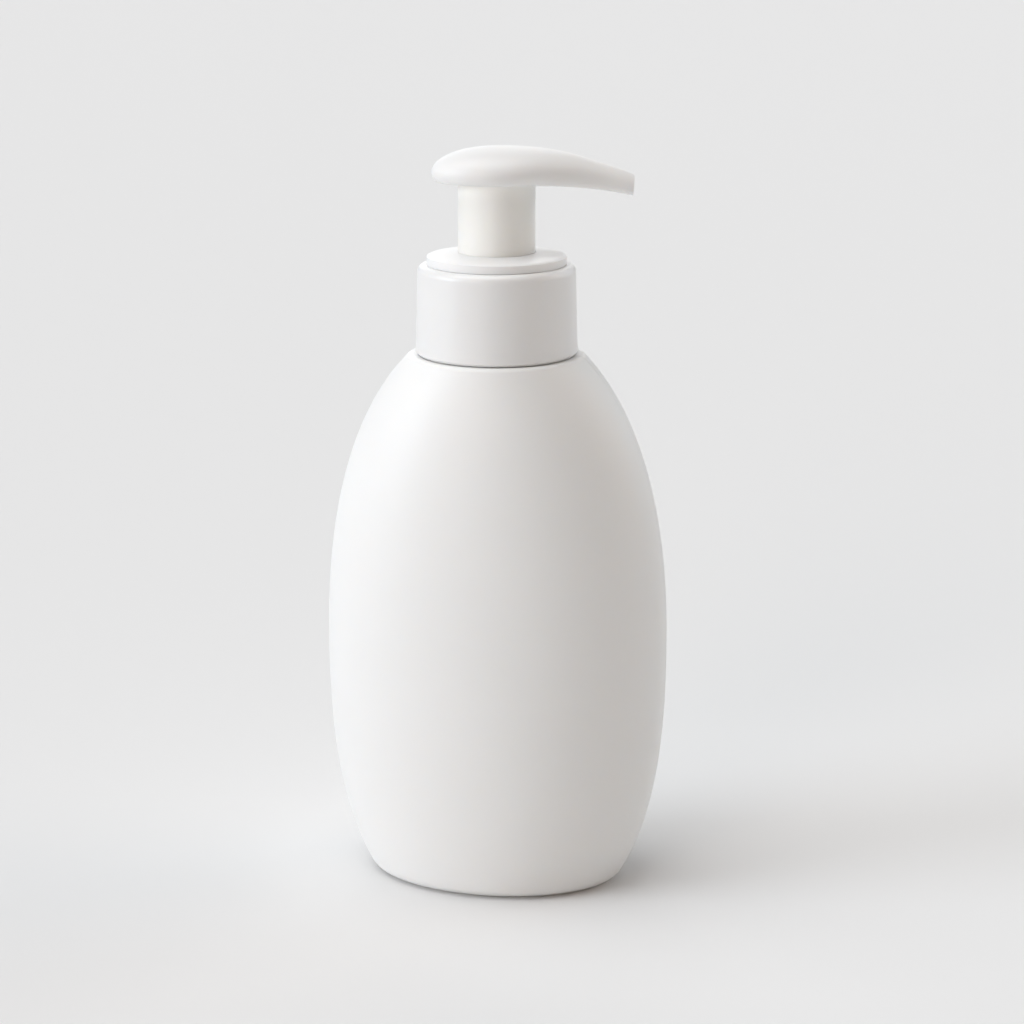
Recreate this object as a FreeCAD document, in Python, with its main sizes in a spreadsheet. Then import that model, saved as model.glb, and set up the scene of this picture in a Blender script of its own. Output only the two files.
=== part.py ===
import FreeCAD, Part
import Sketcher
import os
import re

# Baby wash bottle with a lotion pump: an oval blow-moulded bottle, a smooth screw closure, and an
# outside-spring pump whose head presses down and turns. Millimetres, +Z up, origin on the standing
# plane under the middle of the bottle, +X along the bottle's width. The head's nozzle is turned from
# +X by head_heading, because the head turns freely and was left there.

doc = FreeCAD.newDocument("pump_bottle")

# ---------------------------------------------------------------------------------------------
# Driving dimensions
# ---------------------------------------------------------------------------------------------

DIMENSIONS = {
    # bottle
    "body_width": 81.8,          # across the belly
    "body_depth": 55.6,
    "belly_height": 54.6,        # where the bottle is widest
    "base_width": 59.6,          # at the standing plane, before the heel is rounded
    "base_depth": 44.1,
    "shoulder_height": 127.2,    # the flat land round the neck
    "shoulder_ledge": 1.6,       # shoulder outside the closure, sideways
    "shoulder_ledge_deep": 0.8,  # and front to back
    "shoulder_radius": 1.4,
    "heel_radius": 4.0,
    "body_wall": 1.2,
    "base_wall": 1.4,
    "base_recess": 1.5,          # push-up of the base, inside its standing ring
    "base_ring": 4.5,            # width of that ring, heel included
    # neck finish
    "neck_radius": 15.05,        # outside the neck, under the thread
    "neck_wall": 1.8,
    "neck_height": 17.2,
    "neck_bead": 0.9,            # bead at the root of the neck
    "neck_bead_height": 1.2,
    # closure
    "closure_radius": 18.9,      # at its foot
    "closure_draft": 0.55,       # the top is this much smaller in radius
    "closure_gap": 0.2,          # between its foot and the shoulder
    "closure_bore": 16.5,        # over the neck's thread
    "closure_roof": 1.2,
    "closure_edge": 1.7,         # rounding of the top edge
    "closure_foot_edge": 0.6,    # bevel of the foot, inside and out
    "closure_play": 0.3,         # round the lock ring's boss
    # gasket and flange between the neck's rim and the closure's roof
    "gasket_thick": 1.2,
    "flange_thick": 1.4,
    "flange_inset": 0.3,         # flange and gasket are this much inside the neck's outside
    # lock ring on top of the closure
    "ring_radius": 16.2,
    "ring_rise": 2.9,            # height beside the sleeve
    "ring_edge_rise": 2.2,       # height at its rounded edge
    "ring_edge": 1.3,
    "ring_lift": 0.06,           # the ring stands clear of the closure, which turns under it
    "ring_skirt": 6.7,           # from the closure's top down to the foot of the skirt in the cup
    "ring_skirt_wall": 1.25,
    "ring_land": 2.0,            # length of the guide at the top of its bore
    "ring_boss": 12.0,           # radius of the boss that passes the closure's hole
    "snap_drop": 2.4,            # from the flange's top down to the snap bead
    "snap_bead": 0.4,
    # housing
    "cup_radius": 10.9,
    "cup_wall": 1.7,
    "cup_floor": 1.6,
    "cylinder_radius": 8.0,
    "cylinder_wall": 1.4,
    "vent_radius": 0.6,
    "inlet_cone": 3.6,           # height of the cone between cylinder and throat
    "inlet_throat": 2.7,         # narrower than the ball, so that it keeps it in
    "throat_land": 0.8,
    "ball_radius": 3.0,
    "ball_lift": 1.2,
    "chamber_play": 0.6,         # round the ball, in its chamber
    "inlet_radius": 1.9,
    "inlet_land": 1.5,
    "socket_depth": 7.0,
    "socket_wall": 1.4,
    # dip tube
    "dip_radius": 2.5,
    "dip_bore": 1.8,
    "dip_clear": 2.2,            # from its foot to the floor inside the bottle
    "dip_cut": 30.0,             # slant of its cut foot, in degrees
    # travel
    "stroke": 14.0,
    "piston_slip": 1.0,          # lost motion between stem and piston
    "stop_gap": 0.1,
    "bead_gap": 0.5,             # between the sleeve's bead and the ring's skirt, at rest
    "end_gap": 0.6,              # spare travel at the bottom of the stroke
    # moving parts
    "sleeve_radius": 8.95,
    "sleeve_wall": 1.2,
    "sleeve_top": 1.4,
    "sleeve_bead": 1.3,
    "sleeve_bead_height": 1.6,
    "sleeve_eye_play": 0.4,      # round the stem's boss, at the sleeve's top
    "stem_radius": 3.65,
    "stem_bore": 2.0,
    "stem_shoulder": 5.0,
    "stem_shoulder_height": 1.0,
    "piston_height": 7.2,
    "piston_lip": 0.9,
    "rod_disc": 5.2,
    "rod_disc_height": 1.6,
    "rod_plug": 6.0,             # length of the rod's plug in the stem
    "rod_shoulder": 1.6,         # the stem's foot stands this far above the disc
    "rod_slot": 1.1,
    "rod_neck": 0.7,             # the rod is this much thinner than the stem inside the piston
    "running_fit": 0.05,
    "guide_fit": 0.08,           # stem and sleeve in their guides
    "press_fit": 0.03,
    "bushing_flange": 1.5,
    "bushing_upstand": 2.4,
    "bushing_skirt": 3.3,
    "bushing_wall": 1.35,
    "bushing_play": 0.4,
    "spring_radius": 6.3,        # to the middle of the wire
    "spring_wire": 1.1,
    "spring_turns": 7.5,
    # head
    "head_clear": 16.2,          # from the lock ring up to the head's underside, at rest
    "head_rim_drop": 2.15,       # from the head's widest level down to its underside
    "head_edge": 1.6,            # rounding of the edge round the underside
    "socket_wall_thick": 1.4,    # of the socket in the head that holds the sleeve
    "head_back": 15.0,           # reach behind the stem
    "head_half_width": 11.4,
    "head_dome": 6.05,           # from its widest level up to the crown
    "head_wall": 1.6,
    "head_roof": 4.0,            # thickness over the sleeve, at the crown
    "nozzle_reach": 31.4,
    "nozzle_half_width": 3.1,
    "nozzle_half_height": 2.3,
    "nozzle_drop": 2.9,          # from the head's widest level down to the middle of the tip
    "nozzle_tilt": 5.0,          # the tip's face looks down a little
    "channel_radius": 1.3,
    "channel_slope": 13.0,
    "channel_wall": 1.2,
    "boss_radius": 4.9,
    "boss_depth": 8.0,
    "head_heading": 12.5,
}

sheet = doc.addObject("Spreadsheet::Sheet", "Sizes")
for row, (alias, value) in enumerate(DIMENSIONS.items(), start=1):
    sheet.set(f"A{row}", alias.replace("_", " "))
    sheet.set(f"B{row}", str(value))
    sheet.setAlias(f"B{row}", alias)
doc.recompute()

# Levels and radii that follow from the driving dimensions. Each may use the ones above it.
DERIVED = {
    "closure_foot": "shoulder_height + closure_gap",
    "neck_rim": "shoulder_height + neck_height",
    "neck_bore": "neck_radius - neck_wall",
    "flange_radius": "neck_radius - flange_inset",
    "flange_foot": "neck_rim + gasket_thick",
    "flange_top": "flange_foot + flange_thick",
    "closure_top": "flange_top + closure_roof",
    "ring_top": "closure_top + ring_rise",
    "ring_foot": "closure_top - ring_skirt",
    "snap_level": "flange_top - snap_drop",
    "head_rim": "ring_top + head_clear",
    "head_middle": "head_rim + head_rim_drop",
    "crown": "head_middle + head_dome",
    "socket_ceiling": "crown - head_roof",
    "tip_middle": "head_middle - nozzle_drop",
    "sleeve_foot": "ring_foot - bead_gap - sleeve_bead_height",
    "sleeve_inside": "sleeve_radius - sleeve_wall",
    "bushing_top": "sleeve_foot - stroke - end_gap",
    "cup_floor_top": "bushing_top - bushing_flange",
    "cup_foot": "cup_floor_top - cup_floor",
    "bushing_hub_foot": "cup_floor_top - bushing_skirt / 2",
    "shoulder_top": "bushing_hub_foot - stop_gap",
    "shoulder_foot": "shoulder_top - stem_shoulder_height",
    "piston_top": "shoulder_foot - piston_slip",
    "piston_foot": "piston_top - piston_height",
    "disc_foot": "piston_foot - rod_disc_height",
    "cylinder_foot": "disc_foot - stroke - end_gap",
    "throat_top": "cylinder_foot - inlet_cone",
    "chamber_top": "throat_top - throat_land",
    "chamber_radius": "ball_radius + chamber_play",
    "ball_level": "chamber_top - ball_lift - ball_radius",
    "seat_foot": "ball_level + inlet_radius - 1.4142 * ball_radius - press_fit",
    "chamber_foot": "seat_foot + chamber_radius - inlet_radius",
    "socket_top": "seat_foot - inlet_land",
    "socket_foot": "socket_top - socket_depth",
    "dip_foot": "base_recess + base_wall + dip_clear",
    "stem_foot": "piston_foot + rod_shoulder",
    "spring_top": "socket_ceiling - sleeve_top",
    "vent_level": "( piston_top + piston_foot ) / 2",
    "channel_level": "tip_middle + nozzle_reach * tan ( channel_slope )",
}


def size(text):
    """The expression for a size: its words are aliases of the sheet or names derived from them."""
    words = []
    for word in text.replace("(", " ( ").replace(")", " ) ").split():
        if word in DERIVED:
            word = size(DERIVED[word])
        elif word in DIMENSIONS:
            word = f"Sizes.{word}"
        words.append(word)
    expression = "(" + " ".join(words) + ")"
    return re.sub(r"(sin|cos|tan) \(", r"\1(", expression)


def number(text):
    """The present value of a size."""
    return float(sheet.evalExpression(size(text)))


# ---------------------------------------------------------------------------------------------
# Ways of making a piece
# ---------------------------------------------------------------------------------------------


def origin_plane(body, role):
    return next(feature for feature in body.Origin.OriginFeatures if feature.Role == role)


def new_sketch(body, name, role, offset=None):
    """A sketch on one of the body's origin planes, moved along its normal by a size."""
    sketch = body.newObject("Sketcher::SketchObject", name)
    sketch.AttachmentSupport = [(origin_plane(body, role), "")]
    sketch.MapMode = "FlatFace"
    if offset:
        sketch.setExpression("AttachmentOffset.Base.z", size(offset))
    return sketch


def bind(sketch, constraint, label, text):
    """Adds a constraint and ties it to a size."""
    sketch.renameConstraint(sketch.addConstraint(constraint), label)
    sketch.setExpression(f"Constraints.{label}", size(text))


def draw_outline(sketch, corners):
    """A closed outline of straight edges. Each corner is (distance from the axis, level)."""
    points = [FreeCAD.Vector(number(across), number(up), 0) for across, up in corners]
    for start, end in zip(points, points[1:] + points[:1]):
        sketch.addGeometry(Part.LineSegment(start, end))
    for edge in range(len(points)):
        previous = (edge - 1) % len(points)
        sketch.addConstraint(Sketcher.Constraint("Coincident", previous, 2, edge, 1))
    for edge, ((across, up), point) in enumerate(zip(corners, points)):
        if across == "0":
            sketch.addConstraint(Sketcher.Constraint("PointOnObject", edge, 1, -2))
        else:
            rule = Sketcher.Constraint("DistanceX", -1, 1, edge, 1, point.x)
            bind(sketch, rule, f"across_{edge}", across)
        bind(sketch, Sketcher.Constraint("DistanceY", -1, 1, edge, 1, point.y), f"up_{edge}", up)


def draw_oval(sketch, half_width, half_height, middle=None):
    """An ellipse on the sketch's upright axis, wider than it is high, its centre at a level."""
    level = number(middle) if middle else 0.0
    centre = FreeCAD.Vector(0, level, 0)
    sketch.addGeometry(Part.Ellipse(centre, number(half_width), number(half_height)))
    sketch.exposeInternalGeometry(0)
    sketch.addConstraint(Sketcher.Constraint("Horizontal", 1))
    if middle:
        sketch.addConstraint(Sketcher.Constraint("PointOnObject", 0, 3, -2))
        bind(sketch, Sketcher.Constraint("DistanceY", -1, 1, 0, 3, level), "level", middle)
    else:
        sketch.addConstraint(Sketcher.Constraint("Coincident", 0, 3, -1, 1))
    wide = Sketcher.Constraint("Distance", 1, 2 * number(half_width))
    bind(sketch, wide, "width", f"2 * ( {half_width} )")
    high = Sketcher.Constraint("Distance", 2, 2 * number(half_height))
    bind(sketch, high, "height", f"2 * ( {half_height} )")


def turned(name, corners, body=None, kind="PartDesign::Revolution"):
    """A piece turned about Z from an outline in the XZ plane, or such a feature on a body."""
    body = body or doc.addObject("PartDesign::Body", name)
    profile = new_sketch(body, f"{name}_outline", "XZ_Plane")
    draw_outline(profile, corners)
    turn = body.newObject(kind, f"{name}_turned")
    turn.Profile = profile
    turn.ReferenceAxis = (profile, ["V_Axis"])
    turn.Angle = 360
    profile.Visibility = False
    doc.recompute()
    return body


def lofted(body, name, sections, kind="PartDesign::AdditiveLoft", ruled=False):
    """A skin through sections, in order: smooth, or straight from one section to the next."""
    loft = body.newObject(kind, name)
    first = sections[0]
    loft.Profile = (first, ["Vertex1"]) if len(first.Geometry) == 1 else first
    loft.Sections = [(section, [""]) for section in sections[1:]]
    loft.Ruled = ruled
    doc.recompute()
    return loft


def edges_at(shape, radius, height, slack=0.05):
    """The circular edges of a turned piece that have this radius and level."""
    names = []
    for index, edge in enumerate(shape.Edges, start=1):
        box = edge.BoundBox
        flat = abs(box.ZMin - height) < slack and abs(box.ZMax - height) < slack
        if flat and abs(box.XMax - radius) < slack:
            names.append(f"Edge{index}")
    return names


def rounded(body, name, radius, height, fillet, kind="PartDesign::Fillet"):
    """Rounds, or chamfers, the edge of a turned piece that runs at this radius and level."""
    names = edges_at(body.Shape, number(radius), number(height))
    if not names:
        raise ValueError(f"{name}: no edge at radius {radius}, level {height}")
    base = body.Tip
    feature = body.newObject(kind, name)
    feature.Base = (base, names)
    feature.setExpression("Radius" if kind.endswith("Fillet") else "Size", size(fillet))
    doc.recompute()
    return feature


def cylinder(name, radius, foot, top):
    """A plain round solid on the pump's axis between two levels, to be joined or cut."""
    solid = doc.addObject("Part::Cylinder", name)
    solid.setExpression("Radius", size(radius))
    solid.setExpression("Height", size(f"( {top} ) - ( {foot} )"))
    solid.setExpression("Placement.Base.z", size(foot))
    return solid


def cut(name, base, tool):
    result = doc.addObject("Part::Cut", name)
    result.Base = base
    result.Tool = tool
    return result


def fuse(name, *solids):
    result = doc.addObject("Part::MultiFuse", name)
    result.Shapes = list(solids)
    result.Refine = True
    return result


PIECES = {}


def piece(name, solid):
    """Names a finished sub-part; its file takes the same name."""
    solid.Label = name
    PIECES[name] = solid
    return solid


# ---------------------------------------------------------------------------------------------
# Bottle
# ---------------------------------------------------------------------------------------------


def drawn_in(share, swell, corner, weight):
    """How far an outline has drawn in, 0 at the belly and 1 at its end, at a share of the way."""
    return (1 - weight) * share**swell + weight * share**corner


def body_sections(body, name, inset, floor, ceiling):
    """Oval sections from the shoulder down to the base, each set in by a wall."""
    belly = ("body_width / 2", "body_depth / 2")
    base = ("base_width / 2", "base_depth / 2")
    shoulder = ("( closure_radius + shoulder_ledge )", "( closure_radius + shoulder_ledge_deep )")
    sections = []

    def section(end, level, drawn):
        sketch = new_sketch(body, f"{name}_section_{len(sections)}", "XY_Plane", level)
        halves = [
            f"{full} - ( {full} - {last} ) * {drawn:.5f} - {inset}" for full, last in zip(belly, end)
        ]
        draw_oval(sketch, *halves)
        sections.append(sketch)

    for share in (1.0, 0.88, 0.72, 0.52, 0.28, 0.0):
        level = f"belly_height + ( {ceiling} - belly_height ) * {share}"
        section(shoulder, level, drawn_in(share, 2.545, 9.5, 0.157))
    for share in (0.33, 0.62, 0.86, 1.0):
        level = f"belly_height - ( belly_height - {floor} ) * {share}"
        section(base, level, drawn_in(share, 2.0, 4.65, 0.373))
    return sections


def base_oval(body, name, level, inset):
    sketch = new_sketch(body, name, "XY_Plane", level)
    draw_oval(sketch, f"base_width / 2 - ( {inset} )", f"base_depth / 2 - ( {inset} )")
    return sketch


def round_level_edge(body, name, level, fillet):
    """Rounds the edges that lie flat at a level."""
    names = []
    for index, edge in enumerate(body.Shape.Edges, start=1):
        box = edge.BoundBox
        if max(abs(box.ZMin - number(level)), abs(box.ZMax - number(level))) < 0.01:
            names.append(f"Edge{index}")
    base = body.Tip
    feature = body.newObject("PartDesign::Fillet", name)
    feature.Base = (base, names)
    feature.setExpression("Radius", size(fillet))
    doc.recompute()


def make_bottle():
    """Blown in one piece: an oval body, a round neck and a base pushed up inside a standing ring."""
    body = doc.addObject("PartDesign::Body", "bottle")
    lofted(body, "bottle_skin", body_sections(body, "skin", "0", "0", "shoulder_height"))
    round_level_edge(body, "bottle_heel", "0", "heel_radius")
    round_level_edge(body, "bottle_shoulder", "shoulder_height", "shoulder_radius")
    turned("bottle_neck", [
        ("neck_bore", "shoulder_height - body_wall"),
        ("neck_radius + neck_bead", "shoulder_height - body_wall"),
        ("neck_radius + neck_bead", "shoulder_height + neck_bead_height"),
        ("neck_radius", "shoulder_height + neck_bead_height + neck_bead / 2"),
        ("neck_radius", "neck_rim"),
        ("neck_bore", "neck_rim"),
    ], body)
    inside = body_sections(body, "hollow", "body_wall", "base_wall", "( shoulder_height - body_wall )")
    lofted(body, "bottle_hollow", inside, "PartDesign::SubtractiveLoft", ruled=True)
    turned("bottle_mouth", [
        ("0", "shoulder_height - 3 * body_wall"),
        ("neck_bore", "shoulder_height - 3 * body_wall"),
        ("neck_bore", "neck_rim + 1"),
        ("0", "neck_rim + 1"),
    ], body, "PartDesign::Groove")
    lofted(body, "bottle_push_up", [
        base_oval(body, "push_up_top", "base_recess + base_wall", "base_ring + base_recess"),
        base_oval(body, "push_up_foot", "base_wall / 2", "base_ring - base_wall / 2"),
    ])
    lofted(body, "bottle_recess", [
        base_oval(body, "recess_top", "base_recess", "base_ring + base_recess"),
        base_oval(body, "recess_foot", "0", "base_ring"),
    ], "PartDesign::SubtractiveLoft")
    return body


# ---------------------------------------------------------------------------------------------
# Closure, gasket and lock ring
# ---------------------------------------------------------------------------------------------


def make_closure():
    """The screw closure: a smooth, slightly drafted skirt and a roof with a hole for the pump."""
    body = turned("closure", [
        ("ring_boss + closure_play", "flange_top"),
        ("closure_bore", "flange_top"),
        ("closure_bore", "closure_foot + closure_foot_edge"),
        ("closure_bore + closure_foot_edge", "closure_foot"),
        ("closure_radius - closure_foot_edge", "closure_foot"),
        ("closure_radius", "closure_foot + closure_foot_edge"),
        ("closure_radius - closure_draft", "closure_top"),
        ("ring_boss + closure_play", "closure_top"),
    ])
    top_radius = "closure_radius - closure_draft"
    rounded(body, "closure_top_edge", top_radius, "closure_top", "closure_edge")
    return body


def make_gasket():
    """The flat sealing washer between the neck's rim and the housing's flange."""
    return turned("gasket", [
        ("cup_radius + cup_wall + 2 * running_fit", "neck_rim"),
        ("flange_radius", "neck_rim"),
        ("flange_radius", "flange_foot"),
        ("cup_radius + cup_wall + 2 * running_fit", "flange_foot"),
    ])


def make_lock_ring():
    """The stepped ring on the closure. Its skirt snaps into the housing's cup, and its bore guides
    the sleeve."""
    guide = "sleeve_radius + guide_fit"
    skirt = "cup_radius - running_fit"
    body = turned("lock_ring", [
        (guide, "ring_top - ring_land"),
        (guide, "ring_top"),
        ("ring_radius - ring_edge / 2", "closure_top + ring_edge_rise"),
        ("ring_radius", "closure_top + ring_edge_rise - ring_edge / 4"),
        ("ring_radius", "closure_top + ring_lift"),
        ("ring_boss", "closure_top + ring_lift"),
        ("ring_boss", "flange_top"),
        (skirt, "flange_top"),
        (skirt, "snap_level"),
        (f"{skirt} + snap_bead", "snap_level - snap_bead"),
        (f"{skirt} + snap_bead", "snap_level - 2 * snap_bead"),
        (skirt, "snap_level - 4 * snap_bead"),
        (skirt, "ring_foot"),
        (f"{skirt} - ring_skirt_wall", "ring_foot"),
        (f"{skirt} - ring_skirt_wall", "ring_top - ring_land - ring_skirt_wall"),
    ])
    edge = "closure_top + ring_edge_rise"
    rounded(body, "lock_ring_edge", "ring_radius - ring_edge / 2", edge, "ring_edge")
    return body


# ---------------------------------------------------------------------------------------------
# Inside the pump
# ---------------------------------------------------------------------------------------------


def make_housing():
    """Flange, wide cup for the sleeve's travel, pump cylinder, ball chamber and dip-tube socket."""
    cup_outside = "cup_radius + cup_wall"
    cylinder_outside = "cylinder_radius + cylinder_wall"
    chamber_outside = "chamber_radius + socket_wall"
    socket = "dip_radius + press_fit"
    body = turned("pump_housing", [
        ("cup_radius", "flange_top"),
        ("flange_radius", "flange_top"),
        ("flange_radius", "flange_foot"),
        (cup_outside, "flange_foot"),
        (cup_outside, "cup_foot"),
        (cylinder_outside, "cup_foot"),
        (cylinder_outside, "cylinder_foot"),
        (chamber_outside, "throat_top"),
        (chamber_outside, "chamber_foot"),
        (f"{socket} + socket_wall", "socket_top"),
        (f"{socket} + socket_wall", "socket_foot"),
        (socket, "socket_foot"),
        (socket, "socket_top"),
        ("inlet_radius", "socket_top"),
        ("inlet_radius", "seat_foot"),
        ("chamber_radius", "chamber_foot"),
        ("chamber_radius", "chamber_top"),
        ("inlet_throat", "chamber_top"),
        ("inlet_throat", "throat_top"),
        ("cylinder_radius", "cylinder_foot"),
        ("cylinder_radius", "cup_floor_top"),
        ("cup_radius", "cup_floor_top"),
        ("cup_radius", "snap_level - 4 * snap_bead"),
        ("cup_radius + snap_bead", "snap_level - 2 * snap_bead"),
        ("cup_radius + snap_bead", "snap_level - snap_bead"),
        ("cup_radius", "snap_level"),
    ])
    vent = new_sketch(body, "vent_outline", "XZ_Plane")
    middle = FreeCAD.Vector(0, number("vent_level"), 0)
    vent.addGeometry(Part.Circle(middle, FreeCAD.Vector(0, 0, 1), number("vent_radius")))
    vent.addConstraint(Sketcher.Constraint("PointOnObject", 0, 3, -2))
    bind(vent, Sketcher.Constraint("DistanceY", -1, 1, 0, 3, middle.y), "up", "vent_level")
    bind(vent, Sketcher.Constraint("Radius", 0, number("vent_radius")), "radius", "vent_radius")
    hole = body.newObject("PartDesign::Pocket", "vent_hole")
    hole.Profile = vent
    hole.Type = "Length"
    hole.setExpression("Length", size("cup_radius + cup_wall"))
    vent.Visibility = False
    doc.recompute()
    return body


def make_dip_tube():
    """The tube from the inlet down to just above the floor, its foot cut on the slant."""
    body = turned("dip_tube", [
        ("dip_bore", "dip_foot"),
        ("dip_radius", "dip_foot"),
        ("dip_radius", "socket_top - running_fit"),
        ("dip_bore", "socket_top - running_fit"),
    ])
    corner = new_sketch(body, "slant_outline", "XZ_Plane")
    left, right = "0 - 1.5 * dip_radius", "1.5 * dip_radius"
    rise = "dip_foot + 3 * dip_radius * tan ( dip_cut )"
    corners = [(left, "dip_foot - 1"), (right, "dip_foot - 1"), (right, "dip_foot"), (left, rise)]
    draw_outline(corner, corners)
    slant = body.newObject("PartDesign::Pocket", "dip_tube_slant")
    slant.Profile = corner
    slant.Type = "ThroughAll"
    slant.Midplane = True
    corner.Visibility = False
    doc.recompute()
    return body


def make_inlet_ball():
    """The ball of the inlet valve. It only rests on its seat."""
    ball = doc.addObject("Part::Sphere", "inlet_ball_solid")
    ball.setExpression("Radius", size("ball_radius"))
    ball.setExpression("Placement.Base.z", size("ball_level"))
    return ball


def make_bushing():
    """Closes the cylinder's mouth: it stops the stem, guides it and carries the spring."""
    skirt = "cylinder_radius - press_fit"
    bore = "stem_radius + guide_fit"
    return turned("cylinder_bushing", [
        (bore, "bushing_hub_foot"),
        (f"{skirt} - bushing_wall", "bushing_hub_foot"),
        (f"{skirt} - bushing_wall", "cup_floor_top - bushing_skirt"),
        (skirt, "cup_floor_top - bushing_skirt"),
        (skirt, "cup_floor_top"),
        ("cup_radius - bushing_play", "cup_floor_top"),
        ("cup_radius - bushing_play", "bushing_top"),
        ("spring_radius - spring_wire", "bushing_top"),
        ("spring_radius - spring_wire", "bushing_top + bushing_upstand"),
        (bore, "bushing_top + bushing_upstand"),
    ])


def make_spring():
    """The return spring, outside the liquid: wire on a helix, its ends ground flat. The wire is
    drawn eight-sided, because a round one takes ten times the facets."""
    body = doc.addObject("PartDesign::Body", "return_spring_coil")
    wire = new_sketch(body, "wire_section", "XZ_Plane")
    corners = []
    for turn in range(8):
        angle = 22.5 + 45 * turn
        corners.append((
            f"spring_radius + spring_wire / 2 * cos ( {angle} )",
            f"bushing_top + spring_wire / 2 * sin ( {angle} )",
        ))
    draw_outline(wire, corners)
    helix = body.newObject("PartDesign::AdditiveHelix", "spring_helix")
    helix.Profile = wire
    helix.ReferenceAxis = (wire, ["V_Axis"])
    helix.Mode = "height-turns-angle"
    helix.setExpression("Height", size("spring_top - bushing_top"))
    helix.setExpression("Turns", size("spring_turns"))
    wire.Visibility = False
    room = cylinder("spring_room", "spring_radius + spring_wire", "bushing_top", "spring_top")
    ground = doc.addObject("Part::Common", "return_spring_ground")
    ground.Base = body
    ground.Tool = room
    doc.recompute()
    return ground


def make_stem():
    """The hollow stem that joins head and piston, with the shoulder that stops its return."""
    return turned("stem", [
        ("stem_bore", "stem_foot"),
        ("stem_radius", "stem_foot"),
        ("stem_radius", "shoulder_foot"),
        ("stem_shoulder", "shoulder_foot"),
        ("stem_shoulder", "shoulder_top"),
        ("stem_radius", "shoulder_top"),
        ("stem_radius", "socket_ceiling"),
        ("stem_bore", "socket_ceiling"),
    ])


def make_valve_rod():
    """Plugged into the stem's foot. Its disc shuts the piston's foot, and its grooves lead liquid
    past the piston up into the stem."""
    plug = "stem_bore - press_fit"
    body = turned("valve_rod", [
        ("0", "disc_foot"),
        ("rod_disc", "disc_foot"),
        ("rod_disc", "piston_foot"),
        ("stem_radius - rod_neck", "piston_foot"),
        ("stem_radius - rod_neck", "stem_foot"),
        (plug, "stem_foot"),
        (plug, "stem_foot + rod_plug"),
        ("0", "stem_foot + rod_plug"),
    ])
    groove = new_sketch(body, "groove_outline", "XY_Plane", "stem_foot + rod_plug")
    inner, outer, half = "rod_slot", "2 * stem_radius", "rod_slot / 2"
    corners = [(inner, f"0 - {half}"), (outer, f"0 - {half}"), (outer, half), (inner, half)]
    draw_outline(groove, corners)
    cutter = body.newObject("PartDesign::Pocket", "rod_groove")
    cutter.Profile = groove
    cutter.Type = "Length"
    cutter.setExpression("Length", size("stem_foot + rod_plug - piston_foot"))
    groove.Visibility = False
    doc.recompute()
    pattern = body.newObject("PartDesign::PolarPattern", "rod_grooves")
    pattern.Originals = [cutter]
    pattern.Axis = (groove, ["N_Axis"])
    pattern.Angle = 360
    pattern.Occurrences = 4
    body.Tip = pattern
    doc.recompute()
    return body


def make_piston():
    """A soft piston with a lip at each end and a hub that slides a little on the stem."""
    lip = "cylinder_radius - running_fit"
    hub = "stem_shoulder + piston_lip / 2"
    bore = "stem_radius + guide_fit"
    flare = "piston_lip / 3"
    groove = "piston_height / 3"
    return turned("piston", [
        (bore, "piston_foot"),
        (hub, "piston_foot"),
        (f"{hub} + {flare}", f"piston_foot + {groove}"),
        (f"{lip} - piston_lip - {flare}", f"piston_foot + {groove}"),
        (f"{lip} - piston_lip", "piston_foot"),
        (lip, "piston_foot"),
        (lip, "piston_foot + piston_lip"),
        (f"{lip} - {flare}", "piston_foot + 2 * piston_lip"),
        (f"{lip} - {flare}", "piston_top - 2 * piston_lip"),
        (lip, "piston_top - piston_lip"),
        (lip, "piston_top"),
        (f"{lip} - piston_lip", "piston_top"),
        (f"{lip} - piston_lip - {flare}", f"piston_top - {groove}"),
        (f"{hub} + {flare}", f"piston_top - {groove}"),
        (hub, "piston_top"),
        (bore, "piston_top"),
    ])


def make_sleeve():
    """The wide plain tube under the head. It hides the spring and slides in the lock ring."""
    eye = "boss_radius + sleeve_eye_play"
    body = turned("sleeve", [
        (eye, "socket_ceiling"),
        (eye, "spring_top"),
        ("sleeve_inside", "spring_top"),
        ("sleeve_inside", "sleeve_foot"),
        ("sleeve_radius + sleeve_bead", "sleeve_foot"),
        ("sleeve_radius + sleeve_bead", "sleeve_foot + sleeve_bead_height"),
        ("sleeve_radius", "sleeve_foot + sleeve_bead_height"),
        ("sleeve_radius", "socket_ceiling"),
    ])
    return body


# ---------------------------------------------------------------------------------------------
# Head
# ---------------------------------------------------------------------------------------------

# Stations of the beak, from the stem out to the tip, as shares of its reach, with how far its
# width, its top and its foot have moved from the dome's towards the tip's.
BEAK_STATIONS = (0.25, 0.50, 0.68, 0.85, 1.0)
WIDTH_DRAWN_IN = (0.17, 0.53, 0.78, 0.92, 1.0)
TOP_DROPPED = (0.045, 0.21, 0.45, 0.71, 1.0)
FOOT_DROPPED = (0.004, 0.141, 0.360, 0.660, 1.0)
DOME_ANGLES = (80, 64, 45, 23, 0)
FLAT_SHARE = 0.10                # the underside is flat this far out, then falls to the tip
TIP_TOP = "( tip_middle + nozzle_half_height )"
TIP_FOOT = "( tip_middle - nozzle_half_height )"


def head_section(body, name, along, half_width, top, foot, tilt=None):
    """One upright oval of the head, between a top level and a foot level."""
    sketch = new_sketch(body, name, "YZ_Plane", along)
    middle = f"( ( {top} ) + ( {foot} ) ) / 2"
    half_height = f"( ( {top} ) - ( {foot} ) ) / 2"
    if tilt:
        sketch.AttachmentOffset.Rotation = FreeCAD.Rotation(FreeCAD.Vector(1, 0, 0), 1)
        sketch.setExpression("AttachmentOffset.Rotation.Angle", size(tilt))
        sketch.setExpression("AttachmentOffset.Base.y", size(middle))
        draw_oval(sketch, half_width, half_height)
    else:
        draw_oval(sketch, half_width, half_height, middle)
    return sketch


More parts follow.
